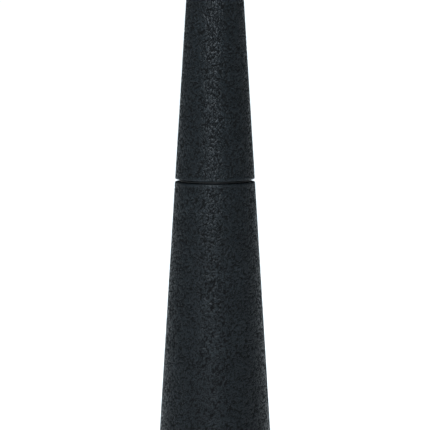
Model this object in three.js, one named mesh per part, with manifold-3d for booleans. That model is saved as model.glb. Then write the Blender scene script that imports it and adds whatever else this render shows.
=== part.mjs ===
// A tall tapered pepper mill: a cast-iron body and a cast-iron head that together make one long cone, with a
// narrow dark groove between them. The head turns a square shaft, which turns a ceramic burr in the base. The
// head, with its collar, pulls off the shaft for filling, and a wheel under the base sets the grind.
//
// Millimetres, +Z up. The origin is the centre of the base, on the surface that the mill stands on.

import * as THREE from "three";
import { mergeVertices } from "three/addons/utils/BufferGeometryUtils.js";
import Module from "manifold-3d";

const wasm = await Module();
wasm.setup();

// ---------------------------------------- driving dimensions

const TOTAL_HEIGHT = 270;
const BASE_RADIUS = 29.5; // of the outer cone, at the table
const TAPER = 0.062; // radius lost per millimetre of height, along body and head alike
const WALL = 3; // of both castings
const SEAM_Z = 145; // the body's top face
const GROOVE = 1.3; // height of the open groove between body and head
const EDGE = 0.5; // rounding of the castings' edges
const FIT = 0.3; // gap between pieces that touch
const RIM_Z = 1; // the casting stands this far off the table, on its foot ring

const RECESS_RADIUS = 24.8; // of the opening under the base
const HOUSING_BASE_Z = 4;
const HOUSING_TOP_Z = 44;
const HOUSING_RADIUS = 18.8; // of the mechanism's tube
const FLANGE_THICKNESS = 2.7; // of the mechanism's flange
const LINER_THICKNESS = 1.2;
const LINER_FLANGE_THICKNESS = 1;
const LEDGE_THICKNESS = 5; // of the ledges inside both castings
const SCREW_CIRCLE = 22.6; // radius at which the mechanism's screws sit
const SCREW_HOLE = 1.1; // radius of a hole that a screw bites into
const SCREW_CLEARANCE = 1.25; // radius of a hole that a screw passes through

const SHAFT_WIDTH = 6; // across the flats
const SHAFT_TOP_Z = 160;
const THREAD_PITCH = 1.25; // of the grind adjuster

const MOUTH_RADIUS = 17.3; // bore of the body's mouth
const MOUTH_Z = 131; // where that bore starts
const SLEEVE_RADIUS = 14.4; // of the collar's sleeve, which plugs into the mouth
const SPIGOT_RADIUS = 12; // of the head core's spigot, which turns in the collar

const HEAD_BASE_Z = SEAM_Z + GROOVE;
const coneRadius = (z) => BASE_RADIUS - TAPER * z;
const innerRadius = (z) => coneRadius(z) - WALL;
const innerHeight = (radius) => (BASE_RADIUS - WALL - radius) / TAPER; // where the inner cone has that radius

const LARGE = 36; // facets round the castings
const MEDIUM = 24; // round the pieces inside them
const SMALL = 16; // round the shaft's pieces
const TINY = 8; // round the screws
const THREE_FOLD = 3; // screws, arms and lugs come in threes

// ---------------------------------------- materials

const finish = (color, roughness, metalness) =>
  new THREE.MeshStandardMaterial({ color, roughness, metalness });
const CAST_IRON = finish(0x25282b, 0.62, 0.35);
const BLACK_POLYMER = finish(0x1d1e20, 0.55, 0);
const CLEAR_POLYMER = finish(0xb9bcba, 0.35, 0);
const WHITE_POLYMER = finish(0xdeded8, 0.45, 0);
const SILICONE = finish(0x2b2b2c, 0.85, 0);
const CERAMIC = finish(0xe9e5da, 0.4, 0);
const STEEL = finish(0xb7b9bc, 0.3, 1);
const BRASS = finish(0xc39a4a, 0.35, 1);

// ---------------------------------------- shapes

const toZ = (geometry) => geometry.rotateX(Math.PI / 2); // a shape made along Y stands along Z

/** Turns a closed outline of [radius, height] points round the Z axis. */
function revolve(outline, facets) {
  const onAxis = outline[0][0] === 0;
  const loop = onAxis ? outline : [...outline, outline[0]];
  const points = loop.map(([r, z]) => new THREE.Vector2(r, z));
  if (THREE.ShapeUtils.area(points) < 0) {
    points.reverse();
  }
  return toZ(new THREE.LatheGeometry(points, facets));
}

/** Points of a rounded corner, from one [radius, height] point to another, bent towards a third. */
function corner(from, towards, to, steps = 3) {
  const [a, b, c] = [from, towards, to].map(([r, z]) => new THREE.Vector2(r, z));
  return new THREE.QuadraticBezierCurve(a, b, c).getPoints(steps).map((p) => [p.x, p.y]);
}

const ring = (inner, outer, bottom, top, facets) =>
  revolve([[inner, bottom], [outer, bottom], [outer, top], [inner, top]], facets);

/** A ring whose four edges are bevelled. */
function bevelledRing(inner, outer, bottom, top, bevel, facets) {
  const outside = [
    [outer - bevel, bottom],
    [outer, bottom + bevel],
    [outer, top - bevel],
    [outer - bevel, top],
  ];
  const inside = [
    [inner + bevel, top],
    [inner, top - bevel],
    [inner, bottom + bevel],
    [inner + bevel, bottom],
  ];
  return revolve([...outside, ...inside], facets);
}

const rod = (radius, bottom, top, facets, x = 0, y = 0) =>
  toZ(new THREE.CylinderGeometry(radius, radius, top - bottom, facets)).translate(x, y, (bottom + top) / 2);

const block = (width, depth, bottom, top, x = 0, y = 0) =>
  new THREE.BoxGeometry(width, depth, top - bottom).translate(x, y, (bottom + top) / 2);

const hexagon = (acrossCorners, bottom, top, x = 0, y = 0) => rod(acrossCorners / 2, bottom, top, 6, x, y);

const FLUTE = [0, 1, 0.7]; // one tooth: its crest, then the flute, as shares of the flute's depth

/**
 * A revolved outline with teeth. Each point is [radius, height, depth], where depth is how far the flutes
 * reach there, outwards if it is positive. The teeth lean by twist radians per millimetre of height.
 */
function toothed(outline, teeth, twist = 0) {
  const loop = [...outline, outline[0]];
  const columns = teeth * FLUTE.length;
  const geometry = new THREE.LatheGeometry(loop.map(([r, z]) => new THREE.Vector2(r, z)), columns);
  const position = geometry.attributes.position;
  for (let column = 0; column <= columns; column++) {
    loop.forEach(([r, z, depth = 0], row) => {
      const radius = r + depth * FLUTE[column % FLUTE.length];
      const angle = (2 * Math.PI * column) / columns - twist * z;
      position.setXYZ(column * loop.length + row, radius * Math.sin(angle), z, radius * Math.cos(angle));
    });
  }
  return toZ(geometry);
}

/** A right-hand threaded rod, whose valleys are depth deep. */
function threadedRod(radius, depth, bottom, top) {
  const ROWS_PER_TURN = 4;
  const COLUMNS = 12;
  const rows = Math.round(((top - bottom) / THREAD_PITCH) * ROWS_PER_TURN);
  const geometry = toZ(new THREE.CylinderGeometry(radius, radius, top - bottom, COLUMNS, rows));
  geometry.translate(0, 0, (top + bottom) / 2);
  const position = geometry.attributes.position;
  for (let i = 0; i < position.count; i++) {
    const x = position.getX(i);
    const y = position.getY(i);
    const turn = position.getZ(i) / THREAD_PITCH - Math.atan2(y, x) / (2 * Math.PI);
    const valley = 2 * Math.abs(turn - Math.round(turn));
    const share = 1 - (depth * valley) / radius;
    position.setX(i, x * share);
    position.setY(i, y * share);
  }
  return geometry;
}

/** A flat open ring, such as a retaining clip. Its gap faces +X and is given in degrees. */
function openRing({ inner, outer, bottom, top, gap }, facets) {
  const half = THREE.MathUtils.degToRad(gap / 2);
  const shape = new THREE.Shape();
  shape.absarc(0, 0, outer, half, 2 * Math.PI - half, false);
  shape.absarc(0, 0, inner, 2 * Math.PI - half, half, true);
  shape.closePath();
  const options = { depth: top - bottom, bevelEnabled: false, curveSegments: facets };
  return new THREE.ExtrudeGeometry(shape, options).translate(0, 0, bottom);
}

// ---------------------------------------- joining and cutting

const OVERSHOOT = 1; // a cutter runs this far past the face that it cuts

function toSolid(geometry) {
  const bare = geometry.clone();
  bare.deleteAttribute("normal");
  bare.deleteAttribute("uv");
  const merged = mergeVertices(bare);
  const vertProperties = merged.attributes.position.array;
  const triVerts = new Uint32Array(merged.index.array);
  return new wasm.Manifold(new wasm.Mesh({ numProp: 3, vertProperties, triVerts }));
}

function toGeometry(solid) {
  const mesh = solid.getMesh();
  return new THREE.BufferGeometry()
    .setAttribute("position", new THREE.BufferAttribute(mesh.vertProperties, mesh.numProp))
    .setIndex(new THREE.BufferAttribute(mesh.triVerts, 1));
}

const join = (first, ...others) =>
  toGeometry(others.reduce((all, other) => all.add(toSolid(other)), toSolid(first)));
const cut = (first, ...others) =>
  toGeometry(others.reduce((rest, other) => rest.subtract(toSolid(other)), toSolid(first)));
const common = (first, second) => toGeometry(toSolid(first).intersect(toSolid(second)));

/** The values of make(angle, index) at equal steps round the Z axis. */
const around = (count, make) => Array.from({ length: count }, (_, i) => make((2 * Math.PI * i) / count, i));
const at = (radius, angle) => [radius * Math.cos(angle), radius * Math.sin(angle)];

/** Three upright holes on a circle. */
const screwHoles = (holeRadius, circle, bottom, top) =>
  around(THREE_FOLD, (angle) => rod(holeRadius, bottom, top, TINY, ...at(circle, angle)));

/** Three bars that point outwards from inner to outer, the first of them turned by start radians. */
const radialBars = (inner, outer, width, bottom, top, start = 0) =>
  around(THREE_FOLD, (angle) =>
    block(outer - inner, width, bottom, top, (inner + outer) / 2).rotateZ(angle + start),
  );

// ---------------------------------------- assembly

const mill = new THREE.Group();
mill.name = "pepper_mill";

function add(name, geometry, material) {
  const mesh = new THREE.Mesh(geometry, material);
  mesh.name = name;
  mill.add(mesh);
}

const SCREW = { head: 1.6, headHeight: 1.5, bevel: 0.35, shank: 0.85, point: 0.8, socket: 1.7, depth: 0.8 };

/** A pan-head screw with a hexagon socket. Its head hangs below z = seat, and its tip points up. */
function screw(name, seat, length, x, y) {
  const { head, headHeight, bevel, shank, point, socket, depth } = SCREW;
  const bottom = seat - headHeight;
  const tip = seat + length;
  const outline = [
    [0, bottom],
    [head - bevel, bottom],
    [head, bottom + bevel],
    [head, seat],
    [shank, seat],
    [shank, tip - point],
    [0, tip],
  ];
  const body = revolve(outline, TINY).translate(x, y, 0);
  add(name, cut(body, hexagon(socket, bottom - OVERSHOOT, bottom + depth, x, y)), STEEL);
}

// ---------------------------------------- body: the lower casting and what is fixed in it

const FLANGE_TOP_Z = HOUSING_BASE_Z + FLANGE_THICKNESS;
const LINER_BASE_Z = FLANGE_TOP_Z + FIT;
const LINER_FLANGE_TOP_Z = LINER_BASE_Z + LINER_FLANGE_THICKNESS;
const LEDGE_Z = LINER_FLANGE_TOP_Z + FIT;
const LEDGE_TOP_Z = LEDGE_Z + LEDGE_THICKNESS;
const LEDGE_RADIUS = HOUSING_RADIUS + LINER_THICKNESS + 2 * FIT;
const HOLE_FLOOR = 0.8; // of metal left above a blind screw hole
const FOOT = { inner: 26.2, outer: 28, top: 3.1, bevel: 0.3, clearance: 0.2 };

/** The lower casting: a cone with a recess and a ledge in its base and a narrower bore in its mouth. */
function bodyShell() {
  const LIP = 1; // height of the slope up to the mouth's bore
  const footGroove = [
    [FOOT.inner - FOOT.clearance, RIM_Z],
    [FOOT.inner - FOOT.clearance, FOOT.top + FOOT.clearance],
    [FOOT.outer + FOOT.clearance, FOOT.top + FOOT.clearance],
    [FOOT.outer + FOOT.clearance, RIM_Z],
  ];
  const baseEdge = corner(
    [coneRadius(RIM_Z) - EDGE, RIM_Z],
    [coneRadius(RIM_Z), RIM_Z],
    [coneRadius(RIM_Z + EDGE), RIM_Z + EDGE],
  );
  const topEdge = corner(
    [coneRadius(SEAM_Z - EDGE), SEAM_Z - EDGE],
    [coneRadius(SEAM_Z), SEAM_Z],
    [coneRadius(SEAM_Z) - EDGE, SEAM_Z],
  );
  const inside = [
    [MOUTH_RADIUS, SEAM_Z],
    [MOUTH_RADIUS, MOUTH_Z],
    [innerRadius(MOUTH_Z - LIP), MOUTH_Z - LIP],
    [innerRadius(LEDGE_TOP_Z), LEDGE_TOP_Z],
    [LEDGE_RADIUS, LEDGE_TOP_Z],
    [LEDGE_RADIUS, LEDGE_Z],
    [RECESS_RADIUS, LEDGE_Z],
    [RECESS_RADIUS, RIM_Z],
  ];
  const casting = revolve([...footGroove, ...baseEdge, ...topEdge, ...inside], LARGE);
  const holes = screwHoles(SCREW_HOLE, SCREW_CIRCLE, LEDGE_Z - OVERSHOOT, LEDGE_TOP_Z - HOLE_FLOOR);
  return cut(casting, ...holes);
}

/** A food-safe tube that keeps the peppercorns off the iron. Its flange is held under the casting's ledge. */
function hopperLiner() {
  const inner = HOUSING_RADIUS + FIT;
  const outer = inner + LINER_THICKNESS;
  const flangeRadius = RECESS_RADIUS - 2 * FIT;
  const flangeTop = LINER_FLANGE_TOP_Z;
  const knee = innerHeight(outer + FIT); // above this height the tube follows the cone
  const top = MOUTH_Z - 1.5;
  const topRadius = innerRadius(top) - FIT;
  const tube = revolve(
    [
      [inner, LINER_BASE_Z],
      [flangeRadius, LINER_BASE_Z],
      [flangeRadius, flangeTop],
      [outer, flangeTop],
      [outer, knee],
      [topRadius, top],
      [topRadius - LINER_THICKNESS, top],
      [inner, knee],
    ],
    MEDIUM,
  );
  const holes = screwHoles(SCREW_CLEARANCE, SCREW_CIRCLE, LINER_BASE_Z - OVERSHOOT, flangeTop + OVERSHOOT);
  return cut(tube, ...holes);
}

const mouthRing = () =>
  bevelledRing(SLEEVE_RADIUS + 0.4, MOUTH_RADIUS - FIT, MOUTH_Z + FIT, SEAM_Z, 0.4, MEDIUM);

const STATOR = { radius: 16.2, bottom: 10, throat: 16, top: 23.7, tips: 10.6, flare: 13.8 };
const HUB = { radius: 7.2, bore: 6.2, bottom: 38, top: 45 };
const CLAMP = { inner: 14.2, outer: 16, bottom: 7.3, top: 9.7, bevel: 0.3 };
const LUG = { radius: 17.4, width: 4.4, bottom: 8.1, top: 9.3, clearance: 0.2 };

/** A flanged tube with a seat for the stator, and a three-armed bridge across it for the shaft's bush. */
function mechanismHousing() {
  const ARM = { width: 3, bottom: 39, top: 43, root: 0.5 };
  const FUNNEL = { rim: 17.5, throat: 13.6, height: 2 };
  const flangeRadius = RECESS_RADIUS - FIT;
  const seatRadius = STATOR.radius + FIT;
  const shoulder = STATOR.top + FIT;
  const tube = revolve(
    [
      [seatRadius, HOUSING_BASE_Z],
      [flangeRadius, HOUSING_BASE_Z],
      [flangeRadius, FLANGE_TOP_Z],
      [HOUSING_RADIUS, FLANGE_TOP_Z],
      [HOUSING_RADIUS, HOUSING_TOP_Z],
      [FUNNEL.rim, HOUSING_TOP_Z],
      [FUNNEL.throat, shoulder + FUNNEL.height],
      [FUNNEL.throat, shoulder],
      [seatRadius, shoulder],
    ],
    MEDIUM,
  );
  const hub = ring(HUB.bore, HUB.radius, HUB.bottom, HUB.top, SMALL);
  const reach = [HUB.radius - ARM.root, FUNNEL.rim + ARM.root];
  const arms = radialBars(...reach, ARM.width, ARM.bottom, ARM.top, Math.PI / THREE_FOLD);
  const lugWindows = radialBars(
    seatRadius - OVERSHOOT,
    HOUSING_RADIUS + OVERSHOOT,
    LUG.width + 2 * LUG.clearance,
    LUG.bottom - LUG.clearance,
    LUG.top + LUG.clearance,
  );
  const holeEnds = [HOUSING_BASE_Z - OVERSHOOT, FLANGE_TOP_Z + OVERSHOOT];
  const holes = screwHoles(SCREW_CLEARANCE, SCREW_CIRCLE, ...holeEnds);
  return cut(join(tube, hub, ...arms), ...holes, ...lugWindows);
}

/** The fixed burr, a ceramic ring with teeth inside. */
function statorRing() {
  const { radius, bottom, throat, top, tips, flare } = STATOR;
  const CHAMFER = 1.5; // where the peppercorns enter
  const FLUTE_DEPTH = 0.9;
  const FINE = 0.4; // the flutes' depth at the outlet, as a share of that
  const TEETH = 18;
  const LEAN = 0.012;
  return toothed(
    [
      [flare, bottom, FLUTE_DEPTH * FINE],
      [radius, bottom],
      [radius, top],
      [tips + CHAMFER, top, FLUTE_DEPTH],
      [tips, top - CHAMFER, FLUTE_DEPTH],
      [tips, throat, FLUTE_DEPTH],
      [(tips + flare) / 2, (throat + bottom) / 2, (FLUTE_DEPTH * (1 + FINE)) / 2],
    ],
    TEETH,
    LEAN,
  );
}

/** The ring that holds the stator in the housing. Its three lugs snap into windows in the tube. */
function statorClampRing() {
  const hoop = bevelledRing(CLAMP.inner, CLAMP.outer, CLAMP.bottom, CLAMP.top, CLAMP.bevel, MEDIUM);
  const lugs = radialBars((CLAMP.inner + CLAMP.outer) / 2, LUG.radius, LUG.width, LUG.bottom, LUG.top);
  return join(hoop, ...lugs);
}

const BUSH = { bore: 4.6, radius: 5.9, flange: 7.4, bottom: 38.2, flangeBottom: HUB.top + FIT, top: 46.3 };

function shaftBush() {
  return revolve(
    [
      [BUSH.bore, BUSH.bottom],
      [BUSH.radius, BUSH.bottom],
      [BUSH.radius, BUSH.flangeBottom],
      [BUSH.flange, BUSH.flangeBottom],
      [BUSH.flange, BUSH.top],
      [BUSH.bore, BUSH.top],
    ],
    SMALL,
  );
}

add("body_shell", bodyShell(), CAST_IRON);
add("hopper_liner", hopperLiner(), CLEAR_POLYMER);
add("mouth_ring", mouthRing(), BLACK_POLYMER);
add("mechanism_housing", mechanismHousing(), BLACK_POLYMER);
add("stator_ring", statorRing(), CERAMIC);
add("stator_clamp_ring", statorClampRing(), BLACK_POLYMER);
add("shaft_bush", shaftBush(), BRASS);
add("foot_ring", bevelledRing(FOOT.inner, FOOT.outer, 0, FOOT.top, FOOT.bevel, LARGE), SILICONE);

const HOUSING_SCREW_LENGTH = 7.9;
around(THREE_FOLD, (angle, i) => {
  screw(`housing_screw_${i + 1}`, HOUSING_BASE_Z - FIT, HOUSING_SCREW_LENGTH, ...at(SCREW_CIRCLE, angle));
});

// ---------------------------------------- drive: the shaft and what is fixed to it

const THRUST_WASHER = { outer: 7.2, bottom: BUSH.top + FIT, top: BUSH.top + FIT + 0.8 };
const CLIP_Z = THRUST_WASHER.top + FIT;
const SHAFT_CLIP = { inner: 3.35, outer: 6.2, bottom: CLIP_Z, top: CLIP_Z + 0.8, gap: 70 };
const THREAD = { radius: 3, depth: 0.55, bottom: 2.9, top: 11.5 };

/** A plain washer on the shaft. */
const washer = ({ outer, bottom, top }) => ring(BUSH.bore, outer, bottom, top, SMALL);

/** A square bar with a groove for its clip, a bevelled top end and a threaded lower end. */
function driveShaft() {
  const BEVEL = 1;
  const half = SHAFT_WIDTH / 2;
  const corners = half * Math.SQRT2;
  const bar = block(SHAFT_WIDTH, SHAFT_WIDTH, THREAD.top - FIT, SHAFT_TOP_Z);
  const envelope = revolve(
    [
      [0, 0],
      [corners + BEVEL, 0],
      [corners + BEVEL, SHAFT_TOP_Z - 2 * BEVEL],
      [half - BEVEL / 2, SHAFT_TOP_Z],
      [0, SHAFT_TOP_Z],
    ],
    SMALL,
  );
  const groove = ring(half, corners + BEVEL, SHAFT_CLIP.bottom - FIT / 2, SHAFT_CLIP.top + FIT / 2, SMALL);
  const thread = threadedRod(THREAD.radius, THREAD.depth, THREAD.bottom, THREAD.top);
  return join(cut(common(bar, envelope), groove), thread);
}

add("drive_shaft", driveShaft(), STEEL);
add("thrust_washer", washer(THRUST_WASHER), STEEL);
add("shaft_clip", openRing(SHAFT_CLIP, SMALL / 2), STEEL);

// ---------------------------------------- burr: the turning cone, which slides on the shaft

const ROTOR = { bottom: 10.4, top: 25, topRadius: 6.8, bore: 5.6, gap: 0.45 };
const CARRIER = { radius: 5.3, flange: 11, bottom: 8.2, flangeTop: 10.1, top: 27 };
const KEY = { width: 2.4, length: 14.8, top: 11.6 };
const SEAT_WASHER = { outer: 6.6, bottom: CARRIER.top + FIT, top: CARRIER.top + FIT + 0.6 };
const SHAFT_HOLE = SHAFT_WIDTH + 2 * FIT;

/** The turning burr, a ceramic cone with leaning teeth and a key slot across its underside. */
function rotorCone() {
  const { bottom, top, topRadius, bore, gap } = ROTOR;
  const { throat } = STATOR;
  const FLUTE_DEPTH = -1; // inwards
  const FINE = 0.4; // the flutes' depth at the outlet, as a share of that
  const COARSE = 1.4; // and where the peppercorns enter
  const TEETH = 14;
  const LEAN = 0.045;
  const slope = (STATOR.flare - STATOR.tips) / (throat - STATOR.bottom);
  const tip = (z) => STATOR.tips + slope * (throat - z) - gap; // runs parallel to the stator's crests
  const middle = (bottom + throat) / 2;
  const cone = toothed(
    [
      [bore, bottom],
      [tip(bottom), bottom, FLUTE_DEPTH * FINE],
      [tip(middle), middle, (FLUTE_DEPTH * (1 + FINE)) / 2],
      [tip(throat), throat, FLUTE_DEPTH],
      [(tip(throat) + topRadius) / 2, (throat + top) / 2, FLUTE_DEPTH * COARSE],
      [topRadius, top, FLUTE_DEPTH / 2],
      [bore, top],
    ],
    TEETH,
    LEAN,
  );
  const slot = block(KEY.length + 4 * FIT, KEY.width + 2 * FIT, bottom - OVERSHOOT, KEY.top + FIT);
  return cut(cone, slot);
}

/** The plastic core that carries the cone and slides on the square shaft. */
function rotorCarrier() {
  const { radius, flange, bottom, flangeTop, top } = CARRIER;
  const core = revolve(
    [
      [0, bottom],
      [flange, bottom],
      [flange, flangeTop],
      [radius, flangeTop],
      [radius, top],
      [0, top],
    ],
    SMALL,
  );
  const key = block(KEY.length, KEY.width, flangeTop - FIT, KEY.top);
  return cut(join(core, key), block(SHAFT_HOLE, SHAFT_HOLE, bottom - OVERSHOOT, top + OVERSHOOT));
}

/** The centre line of a compression spring whose end turns lie close together. */
class SpringLine extends THREE.Curve {
  constructor(spring) {
    super();
    this.spring = spring;
  }

  getPoint(t, target = new THREE.Vector3()) {
    const { radius, wire, bottom, top, turns } = this.spring;
    const turn = t * turns;
    const endRise = wire * 1.12;
    const openTurns = turns - 2;
    const openRise = (top - bottom - wire - 2 * endRise) / openTurns;
    const endShare = Math.min(turn, 1) + Math.max(turn - turns + 1, 0);
    const rise = endRise * endShare + openRise * THREE.MathUtils.clamp(turn - 1, 0, openTurns);
    const angle = 2 * Math.PI * turn;
    return target.set(radius * Math.cos(angle), radius * Math.sin(angle), bottom + wire / 2 + rise);
  }
}

const SPRING = { radius: 5.4, wire: 1, bottom: SEAT_WASHER.top + FIT, top: HUB.bottom - 2 * FIT, turns: 5.5 };

function grindSpring() {
  const SIDES = 6;
  const STEPS_PER_TURN = 10;
  const circle = new THREE.EllipseCurve(0, 0, SPRING.wire / 2, SPRING.wire / 2);
  const section = new THREE.Shape(circle.getPoints(SIDES).slice(0, SIDES));
  const steps = Math.round(SPRING.turns * STEPS_PER_TURN);
  return new THREE.ExtrudeGeometry(section, { extrudePath: new SpringLine(SPRING), steps });
}

add("rotor_cone", rotorCone(), CERAMIC);
add("rotor_carrier", rotorCarrier(), WHITE_POLYMER);
add("spring_seat_washer", washer(SEAT_WASHER), STEEL);
add("grind_spring", grindSpring(), STEEL);

// ---------------------------------------- adjuster: the wheel that sets the grind

const WHEEL = { radius: 9, bottom: 1.3, top: 7.8, bevel: 0.8, grip: -0.55, grips: 18 };
const NUT = { acrossCorners: 10, bottom: 2.7, top: 6.3, bore: 3.3 };
const CAP = { radius: 6.7, bottom: 1.5, top: 2.2 };

/** A fluted wheel that the nut and the cap are set into from below. */
function adjusterWheel() {
  const { radius, bottom, top, bevel, grip, grips } = WHEEL;
  const CORE = 1;
  const knob = toothed(
    [
      [CORE, bottom],
      [radius - bevel, bottom, grip / 2],
      [radius, bottom + bevel, grip],
      [radius, top - bevel, grip],
      [radius - bevel, top, grip / 2],
      [CORE, top],
    ],
    grips,
  );
  const shaftHole = rod(NUT.bore + FIT, bottom - OVERSHOOT, top + OVERSHOOT, SMALL);
  const nutPocket = hexagon(NUT.acrossCorners + 2 * FIT, bottom, NUT.top + FIT);
  const capSeat = rod(CAP.radius + FIT, bottom - OVERSHOOT, CAP.top + FIT, SMALL);
  return cut(knob, shaftHole, nutPocket, capSeat);
}

function adjusterNut() {
  const bore = rod(NUT.bore, NUT.bottom - OVERSHOOT, NUT.top + OVERSHOOT, SMALL);
  return cut(hexagon(NUT.acrossCorners, NUT.bottom, NUT.top), bore);
}

add("adjuster_wheel", adjusterWheel(), BLACK_POLYMER);
add("adjuster_nut", adjusterNut(), BRASS);
add("adjuster_cap", rod(CAP.radius, CAP.bottom, CAP.top, SMALL), BLACK_POLYMER);

// ---------------------------------------- collar: the plug that doesn't turn with the head

const COLLAR = {
  flange: 18.3,
  flangeBottom: SEAM_Z + FIT,
  flangeTop: HEAD_BASE_Z - FIT,
  bottom: 135.2,
  lead: 0.7,
};
const O_RING = { z: 140, section: 0.6, depth: 1.1, clearance: 0.2, squeeze: 0.15 };
const GLIDE = { bottom: HEAD_BASE_Z, top: HEAD_BASE_Z + 0.5, clearance: 0.4 };

/** A flanged sleeve that plugs into the mouth, with a groove for its O-ring. */
function neckCollar() {
  const { flange, flangeBottom, flangeTop, bottom, lead } = COLLAR;
  const inner = SPIGOT_RADIUS + FIT;
  const half = O_RING.section + O_RING.clearance;
  const grooveRadius = SLEEVE_RADIUS - O_RING.depth;
  return revolve(
    [
      [inner, bottom],
      [SLEEVE_RADIUS - lead, bottom],
      [SLEEVE_RADIUS, bottom + lead],
      [SLEEVE_RADIUS, O_RING.z - half],
      [grooveRadius, O_RING.z - half],
      [grooveRadius, O_RING.z + half],
      [SLEEVE_RADIUS, O_RING.z + half],
      [SLEEVE_RADIUS, flangeBottom],
      [flange, flangeBottom],
      [flange, flangeTop],
      [inner, flangeTop],
    ],
    MEDIUM,
  );
}

function neckORing() {
  const SIDES = 6;
  const radius = SLEEVE_RADIUS - O_RING.depth + O_RING.section + O_RING.squeeze;
  return new THREE.TorusGeometry(radius, O_RING.section, SIDES, MEDIUM).translate(0, 0, O_RING.z);
}

add("neck_collar", neckCollar(), BLACK_POLYMER);
add("neck_o_ring", neckORing(), SILICONE);

// ---------------------------------------- head: the upper casting and what turns with it

const CORE = { bottom: 133.6, plate: GLIDE.top + FIT, plateTop: 151.7, tube: 8.9, top: 163, lead: 0.3 };
const CORE_CLIP = { inner: 11.4, outer: 13.4, bottom: 134.1, top: 134.9, gap: 40 };
const CORE_SCREW_CIRCLE = 13.6;
const CORE_SCREW_LENGTH = 6.8;
const HEAD_LEDGE_Z = CORE.plateTop + FIT;
const HEAD_LEDGE = { bottom: HEAD_LEDGE_Z, top: HEAD_LEDGE_Z + LEDGE_THICKNESS, radius: 9.6 };
const SOCKET = { radius: 6.2, bottom: 134, flange: 8, flangeTop: CORE.top + FIT + 1.1 };

/** The upper casting: the same cone, closed by a low crown, with a ledge inside for the core's screws. */
function headShell() {
  const CROWN = { shoulder: TOTAL_HEIGHT - 6.5, edge: TOTAL_HEIGHT - 1.4, radius: 8.4, rise: 0.9 };
  const CAVITY = { top: TOTAL_HEIGHT - 5, slope: 5, narrowing: 4 };
  const bottomEdge = corner(
    [coneRadius(HEAD_BASE_Z) - EDGE, HEAD_BASE_Z],
    [coneRadius(HEAD_BASE_Z), HEAD_BASE_Z],
    [coneRadius(HEAD_BASE_Z + EDGE), HEAD_BASE_Z + EDGE],
  );
  const crownRim = [CROWN.radius, TOTAL_HEIGHT - CROWN.rise];
  const shoulder = corner(
    [coneRadius(CROWN.shoulder), CROWN.shoulder],
    [coneRadius(CROWN.edge), CROWN.edge],
    crownRim,
    6,
  );
  const crown = corner(crownRim, [CROWN.radius / 2, TOTAL_HEIGHT], [0, TOTAL_HEIGHT]).slice(1);
  const inside = [
    [0, CAVITY.top],
    [innerRadius(CAVITY.top) - CAVITY.narrowing, CAVITY.top],
    [innerRadius(CAVITY.top - CAVITY.slope), CAVITY.top - CAVITY.slope],
    [innerRadius(HEAD_LEDGE.top), HEAD_LEDGE.top],
    [HEAD_LEDGE.radius, HEAD_LEDGE.top],
    [HEAD_LEDGE.radius, HEAD_LEDGE.bottom],
    [innerRadius(HEAD_LEDGE.bottom), HEAD_LEDGE.bottom],
    [innerRadius(HEAD_BASE_Z), HEAD_BASE_Z],
  ];
  const casting = revolve([...inside, ...bottomEdge, ...shoulder, ...crown], LARGE);
  const holeEnds = [HEAD_LEDGE.bottom - OVERSHOOT, HEAD_LEDGE.top - HOLE_FLOOR];
  return cut(casting, ...screwHoles(SCREW_HOLE, CORE_SCREW_CIRCLE, ...holeEnds));
}

/** The plastic core under the casting's ledge. Its spigot turns in the collar and holds the socket. */
function headCore() {
  const { bottom, plate, plateTop, tube, top, lead } = CORE;
  const bore = SOCKET.radius + FIT;
  const grooveBottom = CORE_CLIP.bottom - FIT / 2;
  const grooveTop = CORE_CLIP.top + FIT / 2;
  const grooveRadius = CORE_CLIP.inner - FIT;
  const core = revolve(
    [
      [bore, bottom],
      [SPIGOT_RADIUS - lead, bottom],
      [SPIGOT_RADIUS, grooveBottom],
      [grooveRadius, grooveBottom],
      [grooveRadius, grooveTop],
      [SPIGOT_RADIUS, grooveTop],
      [SPIGOT_RADIUS, plate],
      [innerRadius(plate) - FIT, plate],
      [innerRadius(plateTop) - FIT, plateTop],
      [tube, plateTop],
      [tube, top],
      [bore, top],
    ],
    MEDIUM,
  );
  const holes = screwHoles(SCREW_CLEARANCE, CORE_SCREW_CIRCLE, plate - OVERSHOOT, plateTop + OVERSHOOT);
  const headSeatTop = plate + SCREW.headHeight + FIT;
  const headSeats = screwHoles(SCREW.head + FIT, CORE_SCREW_CIRCLE, plate - OVERSHOOT / 2, headSeatTop);
  return cut(core, ...holes, ...headSeats);
}

/** A round steel sleeve with a square hole, which grips the shaft. */
function driveSocket() {
  const { radius, bottom, flange, flangeTop } = SOCKET;
  const flangeBottom = CORE.top + FIT;
  const body = revolve(
    [
      [0, bottom],
      [radius, bottom],
      [radius, flangeBottom],
      [flange, flangeBottom],
      [flange, flangeTop],
      [0, flangeTop],
    ],
    SMALL,
  );
  return cut(body, block(SHAFT_HOLE, SHAFT_HOLE, bottom - OVERSHOOT, flangeTop + OVERSHOOT));
}

function glideWasher() {
  const inner = SPIGOT_RADIUS + GLIDE.clearance;
  const outer = innerRadius(HEAD_BASE_Z) - GLIDE.clearance;
  return ring(inner, outer, GLIDE.bottom, GLIDE.top, MEDIUM);
}

add("head_shell", headShell(), CAST_IRON);
add("head_core", headCore(), BLACK_POLYMER);
add("drive_socket", driveSocket(), STEEL);
add("glide_washer", glideWasher(), WHITE_POLYMER);
add("collar_clip", openRing(CORE_CLIP, MEDIUM / 2), STEEL);
around(THREE_FOLD, (angle, i) => {
  const seat = CORE.plate + SCREW.headHeight;
  screw(`core_screw_${i + 1}`, seat, CORE_SCREW_LENGTH, ...at(CORE_SCREW_CIRCLE, angle));
});

export default mill;
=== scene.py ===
# A tall tapered pepper mill in pitted black cast iron, shown whole, with its turned and moulded inner pieces.
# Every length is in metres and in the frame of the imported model, +Z up.
import math

import bpy
from mathutils import Matrix, Vector, noise

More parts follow.
